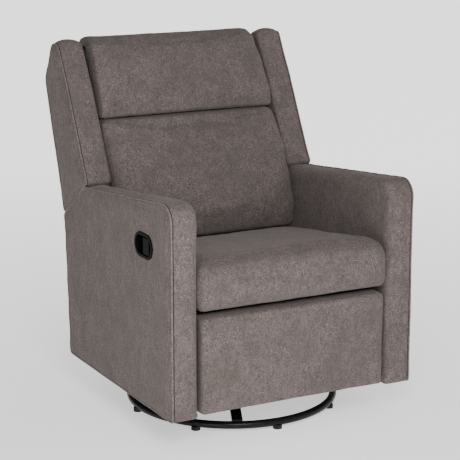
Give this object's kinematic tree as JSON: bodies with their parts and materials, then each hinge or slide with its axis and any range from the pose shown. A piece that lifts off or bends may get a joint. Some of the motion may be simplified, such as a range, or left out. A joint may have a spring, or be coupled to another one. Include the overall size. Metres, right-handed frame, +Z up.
{
  "type": "glider nursery chair",
  "caption": "Upholstered wing-back armchair that glides on swing links, turns on a ring base, reclines, and has a pull-out footrest.",
  "frame": {"origin": "on the floor, under the middle of the chair's outline with the footrest closed", "axes": "+Z up, the chair faces -Y, +X to the occupant's left"},
  "size_m": [0.743, 0.862, 1.0229],
  "materials": {
    "upholstery": "brushed woven pile, heathered warm grey",
    "black_steel": "gloss black paint",
    "zinc_steel": "zinc plated",
    "frame_wood": "raw plywood and softwood",
    "black_plastic": "matt moulded",
    "gloss_black": "polished moulded",
    "nylon": "natural nylon",
    "rubber": "matt",
    "webbing": "woven elastic webbing"
  },
  "bodies": {
    "base": {"base_ring": "black_steel", "base_arms": "black_steel", "base_plate": "black_steel", "foot_glides": "black_plastic", "lower_race": "zinc_steel", "bearing_balls": "zinc_steel", "ball_cage": "nylon", "kingpin": "zinc_steel", "kingpin_nut": "zinc_steel"},
    "swivel": {"upper_race": "zinc_steel", "top_plate": "black_steel", "cross_rails": "black_steel", "swing_uprights": "black_steel", "upper_pivot_pins": "zinc_steel", "glide_stops": "rubber"},
    "front_links": {"front_swing_links": "black_steel"},
    "rear_links": {"rear_swing_links": "black_steel"},
    "chair": {"rail_webs": "black_steel", "arm_sills": "black_steel", "cross_tubes": "black_steel", "lower_pivot_pins": "zinc_steel", "right_arm_frame": "frame_wood", "left_arm_frame": "frame_wood", "right_arm_cover": "upholstery", "left_arm_cover": "upholstery", "rear_skirt": "upholstery", "seat_channels": "zinc_steel", "sill_bolts": "zinc_steel", "handle_cup": "gloss_black", "release_cable": "black_plastic", "lever_pin": "zinc_steel"},
    "handle": {"release_lever": "gloss_black"},
    "seat": {"seat_side_plates": "black_steel", "slide_blocks": "nylon", "seat_frame": "frame_wood", "seat_webbing": "webbing", "seat_cushion": "upholstery", "guide_studs": "zinc_steel"},
    "latch": {"latch_pawl": "zinc_steel"},
    "back": {"back_brackets": "black_steel", "back_frame": "frame_wood", "back_webbing": "webbing", "lumbar_cushion": "upholstery", "headrest_cushion": "upholstery", "right_wing": "upholstery", "left_wing": "upholstery", "wing_boards": "frame_wood", "back_panel": "upholstery"},
    "drive": {"drive_tube": "black_steel", "drive_links": "zinc_steel"},
    "guides": {"guide_links": "zinc_steel"},
    "supports": {"support_arms": "zinc_steel"},
    "tilters": {"tilt_links": "zinc_steel"},
    "footrest": {"footrest_brackets": "zinc_steel", "footrest_board": "frame_wood", "footrest_pad": "upholstery"}
  },
  "joints": [
    {"name": "swivel_spin", "type": "hinge", "parent": "base", "child": "swivel", "pos_m": [0, -0.046, 0.044], "axis": [0, 0, 1], "continuous": true},
    {"name": "glide", "type": "hinge", "parent": "swivel", "child": "front_links", "pos_m": [0, -0.146, 0.215], "axis": [1, 0, 0], "range_deg": [-20, 20]},
    {"name": "chair_hang", "type": "hinge", "parent": "front_links", "child": "chair", "pos_m": [0, -0.146, 0.105], "axis": [1, 0, 0], "range_deg": [-20, 20]},
    {"name": "rear_swing", "type": "hinge", "parent": "swivel", "child": "rear_links", "pos_m": [0, 0.054, 0.215], "axis": [1, 0, 0], "range_deg": [-20, 20]},
    {"name": "handle_pull", "type": "hinge", "parent": "chair", "child": "handle", "pos_m": [-0.362, -0.277, 0.541], "axis": [0, 0, 1], "range_deg": [0, 28], "stiffness_Nm_per_rad": 1.2, "springref_deg": -5.73},
    {"name": "seat_slide", "type": "slide", "parent": "chair", "child": "seat", "axis": [0, -1, 0], "range_m": [0, 0.018], "deforming": ["release_cable"]},
    {"name": "back_recline", "type": "hinge", "parent": "seat", "child": "back", "pos_m": [0, 0.209, 0.3], "axis": [-1, 0, 0], "range_deg": [0, 25]},
    {"name": "footrest_open", "type": "hinge", "parent": "seat", "child": "drive", "pos_m": [0, -0.292, 0.325], "axis": [-1, 0, 0], "range_deg": [0, 94]},
    {"name": "guide_swing", "type": "hinge", "parent": "seat", "child": "guides", "pos_m": [0, -0.27216, 0.3025], "axis": [-1, 0, 0], "range_deg": [0, 94]},
    {"name": "support_swing", "type": "hinge", "parent": "drive", "child": "supports", "pos_m": [0, -0.22082, 0.14883], "axis": [-1, 0, 0], "range_deg": [-94, 0]},
    {"name": "tilt_swing", "type": "hinge", "parent": "drive", "child": "tilters", "pos_m": [0, -0.21183, 0.12658], "axis": [-1, 0, 0], "range_deg": [-94, 0]},
    {"name": "footrest_tilt", "type": "hinge", "parent": "supports", "child": "footrest", "pos_m": [0, -0.34707, 0.29203], "axis": [-1, 0, 0], "range_deg": [0, 94]},
    {"name": "latch_lift", "type": "hinge", "parent": "seat", "child": "latch", "pos_m": [-0.243, -0.24, 0.29], "axis": [-1, 0, 0], "range_deg": [0, 12.1]}
  ],
  "couplings": [
    {"joint": "chair_hang", "follows": "glide", "ratio": -1},
    {"joint": "rear_swing", "follows": "glide", "ratio": 1},
    {"joint": "seat_slide", "follows": "back_recline", "m_per_rad": 0.04},
    {"joint": "guide_swing", "follows": "footrest_open", "ratio": 1},
    {"joint": "support_swing", "follows": "footrest_open", "ratio": -1},
    {"joint": "tilt_swing", "follows": "footrest_open", "ratio": -1},
    {"joint": "footrest_tilt", "follows": "footrest_open", "ratio": 1},
    {"joint": "latch_lift", "follows": "handle_pull", "ratio": 0.43}
  ]
}
